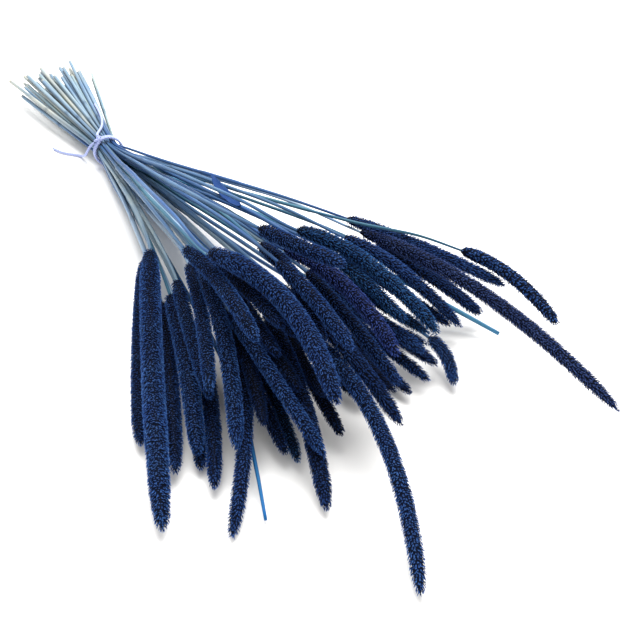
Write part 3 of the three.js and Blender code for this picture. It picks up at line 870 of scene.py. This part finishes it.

# Spikes: each kind's dye colour and the painted highlight at its bristle tips, and which spikes aren't navy
SPIKES = {
    "navy": spike_material("spike_navy", (0.012, 0.042, 0.165), (0.062, 0.160, 0.49)),
    "bright": spike_material("spike_bright", (0.014, 0.052, 0.190), (0.080, 0.200, 0.58)),
    "teal": spike_material("spike_teal", (0.012, 0.055, 0.170), (0.052, 0.185, 0.50)),
    "purple": spike_material("spike_purple", (0.019, 0.040, 0.175), (0.075, 0.135, 0.50)),
    # painted shade and painted deep shade: darker copies of the navy for spikes that lie under others in the
    # pile
    "dark": spike_material("spike_painted_shade", (0.008, 0.028, 0.115), (0.037, 0.100, 0.33)),
    "deep": spike_material("spike_painted_deep_shade", (0.004, 0.015, 0.065), (0.021, 0.056, 0.19)),
    "grey": spike_material("spike_grey", (0.018, 0.040, 0.145), (0.090, 0.145, 0.40)),
}
SPIKE_KIND = kind_by_index({
    "bright": (1, 2, 4, 7, 8, 9, 10, 19, 27, 32, 40, 42),
    "teal": (20, 37, 38, 39),
    "purple": (29,),
    "dark": (12, 13, 15, 18, 21, 25, 34, 36, 44, 47),
    "deep": (17, 22, 23, 24, 45, 46),
    "grey": (33,),
})

# How florets sit on a spike: how many to an area, their lean and its scatter in degrees, their scatter
# sideways, their width and the spike's radius. Counts, widths and radii are times the usual ones.
USUAL_LOOK = {"density": 1.0, "lean": 39, "rough": 6, "stray": 0.1, "width": 1.0, "fullness": 1.0}
OWN_LOOK = {
    32: {"density": 0.5, "lean": 38, "rough": 10, "stray": 0.16, "width": 1.5},
    33: {"fullness": 1.14},
}

# Stalks: each kind's colours near the spike, in the middle and at the cut end
STALKS = {
    "steel": stalk_material("stalk_steel", (0.040, 0.100, 0.20), (0.080, 0.160, 0.28), (0.24, 0.33, 0.40)),
    "pale": stalk_material("stalk_pale", (0.170, 0.270, 0.40), (0.31, 0.41, 0.53), (0.35, 0.41, 0.44)),
    "blue": stalk_material("stalk_blue", (0.024, 0.075, 0.20), (0.050, 0.120, 0.27), (0.20, 0.29, 0.38)),
    "teal": stalk_material("stalk_teal", (0.030, 0.105, 0.17), (0.060, 0.160, 0.23), (0.28, 0.37, 0.40)),
    "straw": stalk_material("stalk_straw", (0.110, 0.180, 0.25), (0.22, 0.29, 0.34), (0.38, 0.40, 0.37)),
}
STALK_KIND = kind_by_index({
    "steel": (10, 15, 25, 28, 30, 35, 37, 40, 43, 45),
    "pale": (3, 5, 8, 13, 18, 19, 20, 21, 23, 33),
    "blue": (1, 11, 16, 26, 29, 31, 36, 38, 44, 46, 47, 48),
    "teal": (4, 9, 12, 14, 24, 32, 34, 39, 41),
    "straw": (2, 6, 7, 17, 22, 27, 42),
})
SLIM = {31: 0.85, 32: 0.72, 33: 0.85, 34: 0.85, 35: 0.85, 36: 0.9}  # stalks thinner than the rest
BARE = {
    # the first bare stalk's colours are partly its own and partly a painted highlight, raised to carry its
    # glossy shine
    1: stalk_material("bare_stalk_teal", (0.050, 0.185, 0.33), (0.055, 0.180, 0.29), (0.27, 0.37, 0.41)),
    2: stalk_material("bare_stalk_blue", (0.012, 0.135, 0.35), (0.003, 0.040, 0.10), (0.18, 0.28, 0.38)),
}

for index in range(1, SPIKED_STALKS + 1):
    rng = np.random.default_rng(SPIKED_SEED + index)
    cad_node = f"timothy_stem_{index:02d}"
    middles, radii = centre_line(cad_node, STEM_RINGS)
    look = {**USUAL_LOOK, **OWN_LOOK.get(index, {}), "material": SPIKES[SPIKE_KIND.get(index, "navy")]}
    spike_piece(f"spike_{index:02d}", cad_node, middles[FOOT_RING:], radii[FOOT_RING:], look, rng)
    # the stalk ends inside its spike
    stalk_middles = np.vstack([middles[:FOOT_RING + 1], middles[FOOT_RING + 2]])
    stalk_radii = np.append(radii[:FOOT_RING + 1], STALK_TIP_RADIUS * MM) * SLIM.get(index, 1.0)
    stalk = STALKS[STALK_KIND[index]]
    stalk_piece(f"stalk_{index:02d}", cad_node, stalk_middles, stalk_radii, stalk, rng)
for index, material in BARE.items():
    rng = np.random.default_rng(BARE_SEED + index)
    cad_node = f"bare_stem_{index:02d}"
    middles, radii = centre_line(cad_node, BARE_RINGS)
    stalk_piece(f"bare_stalk_{index:02d}", cad_node, middles, radii, material, rng)
leaf(leaf_material())

stage()
